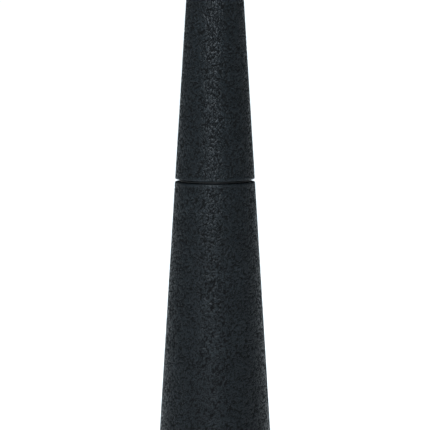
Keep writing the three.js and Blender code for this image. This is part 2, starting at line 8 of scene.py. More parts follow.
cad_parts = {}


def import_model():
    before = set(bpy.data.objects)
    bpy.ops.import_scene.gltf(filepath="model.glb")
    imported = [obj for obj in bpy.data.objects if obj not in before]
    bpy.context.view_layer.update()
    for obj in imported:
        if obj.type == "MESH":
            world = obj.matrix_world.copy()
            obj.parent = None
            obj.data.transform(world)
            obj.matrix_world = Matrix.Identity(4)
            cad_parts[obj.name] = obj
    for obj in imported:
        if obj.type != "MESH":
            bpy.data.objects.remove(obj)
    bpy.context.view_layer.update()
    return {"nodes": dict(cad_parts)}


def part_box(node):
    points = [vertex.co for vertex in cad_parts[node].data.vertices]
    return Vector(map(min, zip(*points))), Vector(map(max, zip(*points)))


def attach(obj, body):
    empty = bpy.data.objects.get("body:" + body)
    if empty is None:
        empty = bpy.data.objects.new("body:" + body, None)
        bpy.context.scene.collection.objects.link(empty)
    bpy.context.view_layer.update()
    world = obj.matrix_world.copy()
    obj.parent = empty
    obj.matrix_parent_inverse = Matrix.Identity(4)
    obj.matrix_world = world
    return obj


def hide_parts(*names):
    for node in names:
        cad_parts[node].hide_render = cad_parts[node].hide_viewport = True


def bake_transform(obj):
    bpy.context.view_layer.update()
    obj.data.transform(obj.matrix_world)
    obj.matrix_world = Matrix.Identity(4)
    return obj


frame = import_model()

MM = 0.001
NODES = frame["nodes"]
SEAM_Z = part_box("body_shell")[1].z
HEAD_BASE_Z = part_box("head_shell")[0].z

CASTING_FACETS = 36  # facets round the turned CAD nodes, by size
INNER_FACETS = 24
SHAFT_FACETS = 16
THREE_FOLD = 3  # screws, arms and lugs come in threes

CASTING_COLUMNS = 300  # facets round the pieces made here
LARGE_COLUMNS = 128
SMALL_COLUMNS = 64

ON_AXIS = 1e-6  # a point nearer to the axis than this lies on it
SHARP = math.radians(35)  # an edge that turns by more than this is a sharp one


# ---------------------------------------- outlines, read from the frame

def half_plane_cut(node, angle):
    """Where a node's faces cross a half plane: pairs of keys, and each key's (radius, height)."""
    mesh = NODES[node].data
    mesh.calc_loop_triangles()
    normal = Vector((-math.sin(angle), math.cos(angle), 0))
    outward = Vector((math.cos(angle), math.sin(angle), 0))
    places = {}
    segments = []
    for triangle in mesh.loop_triangles:
        corners = [mesh.vertices[i].co for i in triangle.vertices]
        ends = []
        for a, b in zip(corners, corners[1:] + corners[:1]):
            side_a = a.dot(normal)
            side_b = b.dot(normal)
            if (side_a >= 0) != (side_b >= 0):
                key = frozenset((a.to_tuple(7), b.to_tuple(7)))
                point = a.lerp(b, side_a / (side_a - side_b))
                places.setdefault(key, Vector((point.dot(outward), point.z)))
                ends.append(key)
        if len(ends) == 2 and sum(places[end].x for end in ends) > 0:
            segments.append(ends)
    return segments, places


def chains(segments):
    """The segments' keys, in order along each line that the segments form."""
    beside = {}
    for a, b in segments:
        beside.setdefault(a, []).append(b)
        beside.setdefault(b, []).append(a)
    found = []
    while beside:
        start = next((key for key, near in beside.items() if len(near) == 1), next(iter(beside)))
        chain = [start]
        near = beside.pop(start)
        while near:
            onward = [key for key in near if key in beside]
            if not onward:
                break
            chain.append(onward[0])
            near = beside.pop(onward[0])
        found.append(chain)
    return found


def outlines(node, facets):
    """The (radius, height) loops of a turned node, anticlockwise, the longest first."""
    segments, places = half_plane_cut(node, math.pi / 2 - math.pi / facets)
    found = []
    for chain in chains(segments):
        loop = [places[key].copy() for key in chain]
        for point in loop:
            point.x /= math.cos(math.pi / facets)
        if sum(a.cross(b) for a, b in zip(loop, loop[1:] + loop[:1])) < 0:
            loop.reverse()
        found.append(without_straights(loop))
    return sorted(found, key=length_of, reverse=True)


def outline(node, facets):
    return outlines(node, facets)[0]


def length_of(loop):
    return sum((b - a).length for a, b in zip(loop, loop[1:]))


def without_straights(loop):
    """The loop without repeated points and without those in the middle of a straight stretch."""
    kept = []
    for before, point, after in zip(loop[-1:] + loop[:-1], loop, loop[1:] + loop[:1]):
        into = point - before
        out = after - point
        bends = abs(into.cross(out)) > 0.02 * into.length * out.length
        if into.length > ON_AXIS and (bends or on_axis(point)):
            kept.append(point)
    return kept


def on_axis(point):
    return point.x < ON_AXIS


def rounded(loop, radius):
    """The loop with each corner turned into a short arc, and a point beside the arc where there is room."""
    ARC_STEPS = 4
    BESIDE = 1.6  # distance of that point from the corner, as a share of the arc's reach
    ROOM = 4  # and how long the stretch has to be for it
    result = []
    for before, point, after in zip(loop[-1:] + loop[:-1], loop, loop[1:] + loop[:1]):
        into = before - point
        out = after - point
        if on_axis(point) or min(into.length, out.length) < ON_AXIS:
            result.append(point)
            continue
        reach = min(radius, 0.4 * into.length, 0.4 * out.length)
        start = point + into.normalized() * reach
        end = point + out.normalized() * reach
        if into.length > ROOM * reach:
            result.append(point + into.normalized() * reach * BESIDE)
        for i in range(ARC_STEPS + 1):
            t = i / ARC_STEPS
            result.append(start.lerp(point, t).lerp(point.lerp(end, t), t))
        if out.length > ROOM * reach:
            result.append(point + out.normalized() * reach * BESIDE)
    return result


def divided(points, step):
    """The points of a line, with more between them so that none are further apart than step."""
    result = []
    for a, b in zip(points, points[1:]):
        parts = max(1, math.ceil((b - a).length / step))
        result += [a.lerp(b, i / parts) for i in range(parts)]
    return result + points[-1:]


# ---------------------------------------- meshes

def make(name, vertices, faces):
    """An object with smooth shading, except at its sharp edges."""
    mesh = bpy.data.meshes.new(name)
    mesh.from_pydata(vertices, [], faces)
    mesh.update()
    mesh.shade_smooth()
    mesh.set_sharp_from_angle(angle=SHARP)
    piece = bpy.data.objects.new(name, mesh)
    bpy.context.scene.collection.objects.link(piece)
    return piece


def skinned(rings, closed):
    """The vertices and faces of a skin over rings of points. A ring of one point is an end on the axis."""
    vertices = []
    starts = []
    for ring in rings:
        starts.append(len(vertices))
        vertices += ring
    faces = []
    pairs = list(zip(range(len(rings)), list(range(1, len(rings))) + [0]))
    for low, high in pairs if closed else pairs[:-1]:
        columns = max(len(rings[low]), len(rings[high]))
        for j in range(columns):
            k = (j + 1) % columns
            corners = []
            for row, column in ((low, j), (low, k), (high, k), (high, j)):
                index = starts[row] + (column if len(rings[row]) > 1 else 0)
                if index not in corners:
                    corners.append(index)
            if len(corners) > 2:
                faces.append(corners)
    return vertices, faces


def circle(radius, z, columns):
    if radius < ON_AXIS:
        return [(0, 0, z)]
    angles = (2 * math.pi * i / columns for i in range(columns))
    return [(radius * math.cos(a), radius * math.sin(a), z) for a in angles]


def revolved(name, loop, columns=LARGE_COLUMNS):
    closed = not on_axis(loop[0])
    return make(name, *skinned([circle(p.x, p.y, columns) for p in loop], closed))


def polar(name, heights, columns, radius_at):
    """A closed solid whose radius at each angle and height is radius_at(angle, height)."""
    angles = [2 * math.pi * i / columns for i in range(columns)]
    rings = [[(0, 0, heights[0])]]
    for z in heights:
        radii = [radius_at(a, z) for a in angles]
        rings.append([(r * math.cos(a), r * math.sin(a), z) for r, a in zip(radii, angles)])
    rings.append([(0, 0, heights[-1])])
    return make(name, *skinned(rings, closed=False))


def block(name, low, high):
    """A plain cutter or bar between two corners."""
    x0, y0, z0 = low
    x1, y1, z1 = high
    rings = [[(x0, y0, z), (x1, y0, z), (x1, y1, z), (x0, y1, z)] for z in (z0, z1)]
    vertices, faces = skinned(rings, closed=False)
    return make(name, vertices, faces + [[3, 2, 1, 0], [4, 5, 6, 7]])


def rod(name, radius, z0, z1, columns=SMALL_COLUMNS, at=(0, 0)):
    """A plain upright cutter or pin."""
    rings = [circle(r, z, columns) for r, z in ((0, z0), (radius, z0), (radius, z1), (0, z1))]
    vertices, faces = skinned(rings, closed=False)
    return make(name, [(x + at[0], y + at[1], z) for x, y, z in vertices], faces)


def turned_by(piece, angle):
    piece.data.transform(Matrix.Rotation(angle, 4, "Z"))
    return piece


def applied(piece, modifier_kind, **settings):
    """The piece with one modifier applied to its mesh."""
    modifier = piece.modifiers.new(modifier_kind.lower(), modifier_kind)
    for key, value in settings.items():
        setattr(modifier, key, value)
    graph = bpy.context.evaluated_depsgraph_get()
    mesh = bpy.data.meshes.new_from_object(piece.evaluated_get(graph))
    piece.modifiers.clear()
    piece.data = mesh
    return piece


def combined(piece, others, operation):
    """The piece joined with the others, or cut by them. The others are used up."""
    for other in others:
        applied(piece, "BOOLEAN", object=other, operation=operation, solver="EXACT")
        bpy.data.objects.remove(other)
    piece.data.shade_smooth()
    piece.data.set_sharp_from_angle(angle=SHARP)
    return piece


def three_of(make_one, start=0.0):
    """Three copies round the axis, the first at the start angle."""
    return [turned_by(make_one(), start + 2 * math.pi * i / THREE_FOLD) for i in range(THREE_FOLD)]


def stand_for(node, piece, finish):
    """Gives a piece its finish, and lets it stand for its CAD node."""
    piece.data.materials.clear()
    piece.data.materials.append(finish)
    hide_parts(node)


def install(piece, node, body, finish):
    """Puts a piece in the place of its CAD node, on a moving body."""
    stand_for(node, piece, finish)
    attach(piece, body)


# ---------------------------------------- finishes

class Surface:
    """A material whose nodes are added one at a time. Textures lie in the piece's own coordinates."""

    def __init__(self, name, **sockets):
        self.material = bpy.data.materials.new(name)
        self.material.use_nodes = True
        self.tree = self.material.node_tree
        self.shader = self.tree.nodes["Principled BSDF"]
        for socket, value in sockets.items():
            self.shader.inputs[socket.replace("_", " ")].default_value = value
        self.place = self.tree.nodes.new("ShaderNodeTexCoord").outputs["Object"]

    def connect(self, source, target):
        if hasattr(source, "is_linked"):
            self.tree.links.new(source, target)
        else:
            target.default_value = source

    def set(self, socket, source):
        self.tree.links.new(source, self.shader.inputs[socket])

    def stretched(self, x, y, z):
        """The coordinates, scaled along each axis."""
        mapping = self.tree.nodes.new("ShaderNodeMapping")
        mapping.inputs["Scale"].default_value = (x, y, z)
        self.tree.links.new(self.place, mapping.inputs["Vector"])
        return mapping.outputs["Vector"]

    def noise(self, size, detail=2.0, distortion=0.0, place=None):
        """Noise from 0 to 1, whose features are about that size."""
        texture = self.tree.nodes.new("ShaderNodeTexNoise")
        texture.inputs["Scale"].default_value = 1 / size
        texture.inputs["Detail"].default_value = detail
        texture.inputs["Distortion"].default_value = distortion
        self.tree.links.new(place or self.place, texture.inputs["Vector"])
        return texture.outputs["Fac"]

    def attribute(self, name):
        reader = self.tree.nodes.new("ShaderNodeAttribute")
        reader.attribute_name = name
        return reader.outputs["Fac"]

    def math(self, operation, a, b=0.0):
        sums = self.tree.nodes.new("ShaderNodeMath")
        sums.operation = operation
        self.connect(a, sums.inputs[0])
        self.connect(b, sums.inputs[1])
        return sums.outputs[0]

    def ramp(self, value, low, high, start=0.0, end=1.0):
        """The value's range from low to high, mapped smoothly to the range from start to end."""
        mapping = self.tree.nodes.new("ShaderNodeMapRange")
        mapping.interpolation_type = "SMOOTHSTEP"
        self.connect(value, mapping.inputs["Value"])
        mapping.inputs["From Min"].default_value = low
        mapping.inputs["From Max"].default_value = high
        mapping.inputs["To Min"].default_value = start
        mapping.inputs["To Max"].default_value = end
        return mapping.outputs["Result"]

    def blend(self, factor, first, second):
        """A colour between two others, which are (r, g, b) or sockets."""
        mix = self.tree.nodes.new("ShaderNodeMix")
        mix.data_type = "RGBA"
        self.connect(factor, mix.inputs["Factor"])
        for socket, colour in ((mix.inputs[6], first), (mix.inputs[7], second)):
            self.connect((*colour, 1) if isinstance(colour, tuple) else colour, socket)
        return mix.outputs[2]

    def bump(self, height, depth, strength=1.0, over=None):
        """A bump of that depth, on top of another one if it is given."""
        node = self.tree.nodes.new("ShaderNodeBump")
        node.inputs["Distance"].default_value = depth
        self.connect(strength, node.inputs["Strength"])
        self.tree.links.new(height, node.inputs["Height"])
        if over is not None:
            self.tree.links.new(over, node.inputs["Normal"])
        return node.outputs["Normal"]


# the pits' black is painted shade: darker than the crests, standing in for the shade that falls in the pits
PIT_SHADE_BLACK = (0.0004, 0.0007, 0.0009)
CREST_BLACK = (0.0068, 0.0089, 0.0105)
WORN_BLACK = (0.0113, 0.0143, 0.0164)


def cast_iron():
    """Matt black, a little blue, with winding pits between low crests that handling has worn a little. The
    pits' colour is darkened as painted shade.
    """
    surface = Surface("cast_iron_black", Specular_IOR_Level=0.12)
    veins = surface.noise(0.95 * MM, detail=0.5, distortion=0.3)
    distance = surface.math("ABSOLUTE", surface.math("SUBTRACT", veins, 0.5))
    crest = surface.ramp(distance, 0.005, 0.085)
    height = surface.math("MULTIPLY", crest, surface.attribute("relief"))
    patches = surface.noise(14 * MM, detail=3)
    # painted shade: the colour runs from the darkened pit black in the pits up to the crest black on the
    # crests
    colour = surface.blend(surface.ramp(height, 0.05, 0.8), PIT_SHADE_BLACK, CREST_BLACK)
    wear = surface.ramp(surface.math("MULTIPLY", height, patches), 0.45, 0.75)
    surface.set("Base Color", surface.blend(wear, colour, WORN_BLACK))
    surface.set("Roughness", surface.ramp(height, 0.0, 1.0, 0.8, 0.3))
    fine = surface.bump(surface.noise(0.28 * MM, detail=2), 0.02 * MM)
    surface.set("Normal", surface.bump(crest, 0.3 * MM, surface.attribute("grain"), over=fine))
    return surface.material


def moulded(name, colour, roughness, specular=0.4):
    """A moulded polymer with a fine grain and a little dust."""
    surface = Surface(name, Specular_IOR_Level=specular)
    patches = surface.noise(9 * MM, detail=4)
    dusty = tuple(0.85 * c + 0.004 for c in colour)
    surface.set("Base Color", surface.blend(surface.ramp(patches, 0.35, 0.7), colour, dusty))
    surface.set("Roughness", surface.ramp(patches, 0.3, 0.7, roughness - 0.05, roughness + 0.07))
    surface.set("Normal", surface.bump(surface.noise(0.22 * MM, detail=2), 0.008 * MM))
    return surface.material


def turned_metal(name, colour, roughness):
    """Turned metal: rings from the tool, along the axis and across the faces, and faint smudges."""
    surface = Surface(name, Metallic=1.0)
    smudges = surface.noise(6 * MM, detail=4)
    dull = tuple(0.8 * c for c in colour)
    surface.set("Base Color", surface.blend(surface.ramp(smudges, 0.3, 0.75), colour, dull))
    surface.set("Roughness", surface.ramp(smudges, 0.3, 0.7, roughness, roughness + 0.14))
    rings = surface.noise(2.5 * MM, detail=3, place=surface.stretched(0.15, 0.15, 12))
    surface.set("Normal", surface.bump(rings, 0.01 * MM))
    return surface.material


def drawn_steel():
    """Drawn bar: fine lines along its length."""
    surface = Surface("drawn_steel", Metallic=1.0)
    lines = surface.noise(0.8 * MM, detail=3, place=surface.stretched(3, 3, 0.04))
    surface.set("Base Color", surface.blend(lines, (0.50, 0.51, 0.52), (0.66, 0.67, 0.68)))
    surface.set("Roughness", surface.ramp(lines, 0.3, 0.7, 0.24, 0.38))
    surface.set("Normal", surface.bump(lines, 0.012 * MM))
    return surface.material


def technical_ceramic():
    """Sintered ceramic: off-white, fine-grained, with faint grey specks."""
    surface = Surface("technical_ceramic", Specular_IOR_Level=0.5)
    specks = surface.ramp(surface.noise(0.5 * MM, detail=3), 0.62, 0.72)
    surface.set("Base Color", surface.blend(specks, (0.78, 0.75, 0.67), (0.56, 0.54, 0.50)))
    surface.set("Roughness", surface.ramp(surface.noise(3 * MM, detail=3), 0.3, 0.7, 0.34, 0.48))
    surface.set("Normal", surface.bump(surface.noise(0.15 * MM, detail=2), 0.008 * MM))
    return surface.material


def translucent_polymer():
    """Milky tube material, which lets some light through."""
    surface = Surface("translucent_polymer", Specular_IOR_Level=0.45, Subsurface_Weight=0.25)
    surface.shader.inputs["Subsurface Radius"].default_value = (2 * MM, 2 * MM, 2 * MM)
    streaks = surface.noise(8 * MM, detail=3, place=surface.stretched(1, 1, 0.2))
    surface.set("Base Color", surface.blend(streaks, (0.50, 0.52, 0.51), (0.62, 0.63, 0.61)))
    surface.set("Roughness", surface.ramp(streaks, 0.3, 0.7, 0.3, 0.42))
    surface.set("Normal", surface.bump(surface.noise(0.6 * MM, detail=2), 0.006 * MM))
    return surface.material


def silicone():
    """Dull, slightly dusty rubber."""
    surface = Surface("silicone", Specular_IOR_Level=0.25)
    dust = surface.ramp(surface.noise(2.2 * MM, detail=5), 0.5, 0.75)
    surface.set("Base Color", surface.blend(dust, (0.017, 0.017, 0.018), (0.040, 0.040, 0.040)))
    surface.set("Roughness", surface.ramp(dust, 0.0, 1.0, 0.72, 0.86))
    surface.set("Normal", surface.bump(surface.noise(0.3 * MM, detail=3), 0.012 * MM))
    return surface.material


IRON = cast_iron()
BLACK = moulded("black_polymer", (0.005, 0.0056, 0.006), 0.5, specular=0.25)
WHITE = moulded("white_polymer", (0.66, 0.66, 0.63), 0.38)
STEEL = turned_metal("turned_steel", (0.58, 0.59, 0.60), 0.26)
BRASS = turned_metal("turned_brass", (0.62, 0.41, 0.14), 0.24)
BAR = drawn_steel()
CERAMIC = technical_ceramic()
CLEAR = translucent_polymer()
RUBBER = silicone()


# ---------------------------------------- castings

LUMP = 1.65 * MM  # spacing of the larger lumps of the cast skin
PIT_DEPTH = 0.28 * MM
SWELL_DEPTH = 0.08 * MM  # of the slow unevenness under the pits
SMOOTH_BAND = 2.4 * MM  # beside the seam and the foot, where the pits fade out
PIT_EDGES = (0.03, 0.18)  # values of the noise where a pit's floor ends and where the crest starts
SKIN_STEP = 0.53 * MM  # between the rows of the outer skin
INNER_STEP = 5 * MM
SKIN_SEED = 1

noise.seed_set(SKIN_SEED)  # without it noise_vector has other offsets in each run


def smoothstep(low, high, value):
    t = min(max((value - low) / (high - low), 0.0), 1.0)
    return t * t * (3 - 2 * t)


def skin(point):
    """(relief, depth): relief is 0 in pits and 1 on crests, and depth is how far the skin lies inside."""
    warp = noise.noise_vector(point / (3 * LUMP)) * (0.5 * LUMP)
    relief = smoothstep(*PIT_EDGES, abs(noise.noise((point + warp) / LUMP)))
    swell = 0.5 + 0.5 * noise.noise(point / (5 * LUMP))
    return relief, PIT_DEPTH * (1 - relief) + SWELL_DEPTH * swell


def outer_first(loop):
    """The loop, started at the lower end of its outer side, and how many points the outer side has."""
    count = len(loop)
    side = max(range(count), key=lambda i: (loop[(i + 1) % count] - loop[i]).length)

    def turns(i):
        into = loop[i % count] - loop[(i - 1) % count]
        out = loop[(i + 1) % count] - loop[i % count]
        return on_axis(loop[i % count]) or into.angle(out) > math.radians(60)

    first = side
    while not turns(first):
        first -= 1
    last = side + 1
    while not turns(last):
        last += 1
    return [loop[(first + i) % count] for i in range(count)], last - first + 1


def relaxed(points, rounds):
    """The points of a line, evened out, with its ends kept."""
    for _ in range(rounds):
        middle = [(a + 2 * b + c) / 4 for a, b, c in zip(points, points[1:], points[2:])]
        points = points[:1] + middle + points[-1:]
    return points


def pitting(z):
    """How much of the pits there is at a height: none at the edges, all of them further off."""
    from_seam = SEAM_Z - z if z < SEAM_Z else z - HEAD_BASE_Z
    from_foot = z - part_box("body_shell")[0].z
    return smoothstep(0.1 * MM, SMOOTH_BAND, from_seam) * smoothstep(0.0, SMOOTH_BAND, from_foot)


def casting(node, body):
    """A turned shell whose outer side has the cast skin as real relief."""
    loop, outer_count = outer_first(outline(node, CASTING_FACETS))
    outer = relaxed(divided(loop[:outer_count], SKIN_STEP), 2)
    inner = divided([outer[-1]] + loop[outer_count:] + [outer[0]], INNER_STEP)[1:-1]
    rings = [circle(p.x, p.y, CASTING_COLUMNS) for p in inner]
    smooth_count = sum(len(ring) for ring in rings)
    relief = [1.0] * smooth_count
    grain = [0.5] * smooth_count
    for i, row in enumerate(outer):
        along = outer[min(i + 1, len(outer) - 1)] - outer[max(i - 1, 0)]
        inward = Vector((-along.y, along.x)).normalized()
        amount = pitting(row.y)
        ring = []
        for x, y, z in circle(row.x, row.y, CASTING_COLUMNS):
            height, depth = skin(Vector((x, y, z)))
            shift = inward * depth * amount
            share = 1 + shift.x / max(row.x, MM)
            ring.append((x * share, y * share, z + shift.y))
            relief.append(1 - (1 - height) * amount)
            grain.append(0.2 + 0.8 * amount)
        rings.append(ring)
    piece = make("cast_" + node, *skinned(rings, closed=not on_axis(outer[-1])))
    for label, values in (("relief", relief), ("grain", grain)):
        layer = piece.data.attributes.new(label, "FLOAT", "POINT")
        layer.data.foreach_set("value", values)
    install(piece, node, body, IRON)


casting("body_shell", "body")
casting("head_shell", "head")


# ---------------------------------------- plain turned pieces

def lathe(node, body, finish, facets, corner=0.25 * MM):
    install(revolved("turned_" + node, rounded(outline(node, facets), corner)), node, body, finish)


lathe("mouth_ring", "body", BLACK, INNER_FACETS)
lathe("shaft_bush", "body", BRASS, SHAFT_FACETS)
lathe("foot_ring", "body", RUBBER, CASTING_FACETS)
lathe("thrust_washer", "drive", STEEL, SHAFT_FACETS, 0.12 * MM)
lathe("spring_seat_washer", "burr", STEEL, SHAFT_FACETS, 0.1 * MM)
lathe("neck_collar", "collar", BLACK, INNER_FACETS, 0.2 * MM)
lathe("glide_washer", "head", WHITE, INNER_FACETS, 0.1 * MM)


# ---------------------------------------- turned pieces with holes

CUT_PAST = 1 * MM  # a cutter runs this far past the face that it cuts
SCREW_HOLE = 1.25 * MM
SCREW_SEAT = 1.9 * MM
SCREW_HEAD_HEIGHT = 1.5 * MM
SHAFT_HOLE = 6.6 * MM  # across the flats
LUG_WIDTH = 4.4 * MM  # of the clamp ring's lugs
LUG_Z = (8.1 * MM, 9.3 * MM)
LUG_GAP = 0.2 * MM
CLAMP_MIDDLE = 15.1 * MM  # radius of the middle of the clamp ring


def circle_of(node):
    """The radius of the circle on which a screw sits that stands at angle 0."""
    low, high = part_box(node)
    return (low.x + high.x) / 2


def screw_holes(first_screw, radius, z0, z1):
    """Cutters round three screws, the first of which is named."""
    place = (circle_of(first_screw), 0)
    return three_of(lambda: rod("hole", radius, z0, z1, at=place))


def hopper_liner():
    FLANGE = 3 * MM  # a cutter this tall passes through the flange
    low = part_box("hopper_liner")[0]
    piece = revolved("moulded_liner", rounded(outline("hopper_liner", INNER_FACETS), 0.3 * MM))
    holes = screw_holes("housing_screw_1", SCREW_HOLE, low.z - CUT_PAST, low.z + FLANGE)
    install(combined(piece, holes, "DIFFERENCE"), "hopper_liner", "body", CLEAR)


def bevelled_block(low, high, bevel):
    return applied(block("bar", low, high), "BEVEL", width=bevel, segments=3)


def mechanism_housing():
    """A flanged tube with a three-armed bridge across it, and windows for the clamp ring's lugs."""
    ARM_WIDTH = 3 * MM
    ARM_Z = (39 * MM, 43 * MM)
    ARM_BEVEL = 0.5 * MM
    HUB_ROOT = 0.5 * MM  # how far an arm runs into the hub
    RIM_ROOT = 0.4 * MM  # and into the tube
    WINDOW_FLOOR = 4 * MM  # from the flange's edge to the outer end of the windows
    tube_loop, hub_loop = outlines("mechanism_housing", INNER_FACETS)
    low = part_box("mechanism_housing")[0]
    flange_top = sorted({round(p.y, 6) for p in tube_loop})[1]
    lug_low, lug_high = LUG_Z
    tube = revolved("moulded_housing", rounded(tube_loop, 0.3 * MM))
    hub = revolved("hub", rounded(hub_loop, 0.3 * MM))
    arm_ends = (max(p.x for p in hub_loop) - HUB_ROOT, rim_radius(tube_loop) + RIM_ROOT)
    arm_low = (arm_ends[0], -ARM_WIDTH / 2, ARM_Z[0])
    arm_high = (arm_ends[1], ARM_WIDTH / 2, ARM_Z[1])
    arms = three_of(lambda: bevelled_block(arm_low, arm_high, ARM_BEVEL), math.pi / THREE_FOLD)
    housing = combined(tube, [hub, *arms], "UNION")
    half = LUG_WIDTH / 2 + LUG_GAP
    window_low = (CLAMP_MIDDLE, -half, lug_low - LUG_GAP)
    window_high = (max(p.x for p in tube_loop) - WINDOW_FLOOR, half, lug_high + LUG_GAP)
    windows = three_of(lambda: block("window", window_low, window_high))
    holes = screw_holes("housing_screw_1", SCREW_HOLE, low.z - CUT_PAST, flange_top + CUT_PAST)
    housing = combined(housing, holes + windows, "DIFFERENCE")
    install(housing, "mechanism_housing", "body", BLACK)


def rim_radius(tube_loop):
    """The inner radius of the tube's upper rim."""
    top = max(p.y for p in tube_loop)
    return min(p.x for p in tube_loop if p.y > top - 0.1 * MM)


def stator_clamp_ring():
    """A hoop with three lugs."""
    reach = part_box("stator_clamp_ring")[1].x
    hoop = revolved("moulded_clamp", rounded(outline("stator_clamp_ring", INNER_FACETS), 0.2 * MM))
    lug_low = (CLAMP_MIDDLE, -LUG_WIDTH / 2, LUG_Z[0])
    lug_high = (reach, LUG_WIDTH / 2, LUG_Z[1])
    lugs = three_of(lambda: bevelled_block(lug_low, lug_high, 0.2 * MM))
    clamp = combined(hoop, lugs, "UNION")
    install(clamp, "stator_clamp_ring", "body", BLACK)


def head_core():
    """The plastic core under the head's ledge, with seats for its three screws."""
    ROOM = 0.2 * MM  # above the screws' heads, in their seats
    first = "core_screw_1"
    seat_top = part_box(first)[0].z + SCREW_HEAD_HEIGHT + ROOM
    plate_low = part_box(first)[0].z - CUT_PAST
    plate_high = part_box("drive_socket")[1].z
    core = revolved("moulded_core", rounded(outline("head_core", INNER_FACETS), 0.25 * MM))
    holes = screw_holes(first, SCREW_HOLE, plate_low, plate_high)
    seats = screw_holes(first, SCREW_SEAT, plate_low, seat_top)
    install(combined(core, holes + seats, "DIFFERENCE"), "head_core", "head", BLACK)


def without_bore(loop):
    """The loop carried on to the axis, for another shape of hole to be cut, and started at its lower end."""
    bore = min(p.x for p in loop)
    closed = [Vector((0, p.y)) if p.x < bore + 0.2 * MM else p for p in loop]
    start = next(i for i, p in enumerate(closed) if on_axis(p) and on_axis(closed[i - 1]))
    return closed[start:] + closed[:start]


def square_cutter(z0, z1):
    half = SHAFT_HOLE / 2
    return block("square", (-half, -half, z0), (half, half, z1))


def drive_socket():
    low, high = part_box("drive_socket")
    loop = without_bore(outline("drive_socket", SHAFT_FACETS))
    sleeve = revolved("turned_socket", rounded(loop, 0.3 * MM))
    hole = square_cutter(low.z - CUT_PAST, high.z + CUT_PAST)
    install(combined(sleeve, [hole], "DIFFERENCE"), "drive_socket", "head", STEEL)


def rotor_carrier():
    """A flanged core with a key across it, which drives the cone."""
    KEY_LENGTH = 14.8 * MM
    KEY_WIDTH = 2.4 * MM
    KEY_Z = (-0.2 * MM, 1.5 * MM)  # its ends, from the flange's top
    low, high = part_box("rotor_carrier")
    loop = without_bore(outline("rotor_carrier", SHAFT_FACETS))
    flange_top = sorted({round(p.y, 6) for p in loop})[1]
    core = revolved("moulded_carrier", rounded(loop, 0.25 * MM))
    key_low = (-KEY_LENGTH / 2, -KEY_WIDTH / 2, flange_top + KEY_Z[0])
    key_high = (KEY_LENGTH / 2, KEY_WIDTH / 2, flange_top + KEY_Z[1])
    core = combined(core, [bevelled_block(key_low, key_high, 0.2 * MM)], "UNION")
    hole = square_cutter(low.z - CUT_PAST, high.z + CUT_PAST)
    install(combined(core, [hole], "DIFFERENCE"), "rotor_carrier", "burr", WHITE)


hopper_liner()
mechanism_housing()
stator_clamp_ring()
head_core()
drive_socket()
rotor_carrier()


# ---------------------------------------- screws, shaft, clips, seal and spring

def screw(node, body):
    """A pan-head screw, point up, with a hexagon socket and a cut thread."""
    SHANK = 0.85 * MM
    PITCH = 0.55 * MM
    POINT = 0.8 * MM
    SOCKET = 0.85 * MM  # radius across corners
    SOCKET_DEPTH = 0.8 * MM
    ROUNDING = 0.5 * MM  # height of the rounded part of the head
    ROUNDING_STEPS = 6
    HAIR = 0.001 * MM
    low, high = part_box(node)
    middle = Vector(((low.x + high.x) / 2, (low.y + high.y) / 2, 0))
    head = (high.x - low.x) / 2
    seat = low.z + SCREW_HEAD_HEIGHT

    def radius_at(angle, z):
        if z < seat:
            rounding = 1 - smoothstep(0, ROUNDING, z - low.z)
            return head * (1 - 0.22 * rounding)
        turn = (z - seat) / PITCH - angle / (2 * math.pi)
        valley = 2 * abs(turn - round(turn))
        taper = min(1, (high.z - z) / POINT)
        return SHANK * taper * (1 - 0.2 * valley)

    head_rows = [low.z + ROUNDING * i / ROUNDING_STEPS for i in range(ROUNDING_STEPS + 1)] + [seat - HAIR]
    rows = math.ceil((high.z - seat) / (PITCH / 8))
    shank_rows = [seat + (high.z - seat) * i / rows for i in range(rows)]
    piece = polar("threaded_" + node, head_rows + shank_rows, SMALL_COLUMNS // 2, radius_at)
    socket = rod("socket", SOCKET, low.z - CUT_PAST, low.z + SOCKET_DEPTH, columns=6)
    piece = combined(piece, [socket], "DIFFERENCE")
    piece.data.transform(Matrix.Translation(middle))
    install(piece, node, body, STEEL)


def drive_shaft():
    """A square bar with softened edges, a groove for its clip and a thread at its lower end."""
    THREAD_RADIUS = 3 * MM
    THREAD_DEPTH = 0.55 * MM
    PITCH = 1.25 * MM
    THREAD_TOP = 11.5 * MM
    CORNER = 4 * MM  # radius to which the square's edges are turned down
    BEVEL = 1 * MM
    GROOVE_GAP = 0.15 * MM  # between the clip and the groove's sides
    HAIR = 0.02 * MM
    low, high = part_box("drive_shaft")
    clip_low, clip_high = (end.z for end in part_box("shaft_clip"))
    groove = (clip_low - GROOVE_GAP, clip_high + GROOVE_GAP)
    half = high.x

    def radius_at(angle, z):
        if z < THREAD_TOP:
            turn = z / PITCH - angle / (2 * math.pi)
            valley = 2 * abs(turn - round(turn))
            lead = smoothstep(0, 0.8 * MM, z - low.z)
            return THREAD_RADIUS * (0.86 + 0.14 * lead) - THREAD_DEPTH * valley * lead
        flat = half / max(abs(math.cos(angle)), abs(math.sin(angle)))
        limit = half if groove[0] < z < groove[1] else CORNER
        return min(flat, limit, half - 0.5 * BEVEL + (high.z - z))

    rows = math.ceil((THREAD_TOP - low.z) / (PITCH / 12))
    thread_rows = [low.z + (THREAD_TOP - low.z) * i / rows for i in range(rows)]
    bar_rows = [THREAD_TOP, groove[0] - HAIR, groove[0] + HAIR, groove[1] - HAIR, groove[1] + HAIR]
    end_rows = [high.z - 1.8 * BEVEL, high.z - 1.2 * BEVEL, high.z - 0.6 * BEVEL, high.z]
    heights = thread_rows + bar_rows + [high.z / 2, high.z * 0.8] + end_rows
    piece = polar("milled_shaft", sorted(heights), 2 * SMALL_COLUMNS, radius_at)
    install(piece, "drive_shaft", "drive", BAR)


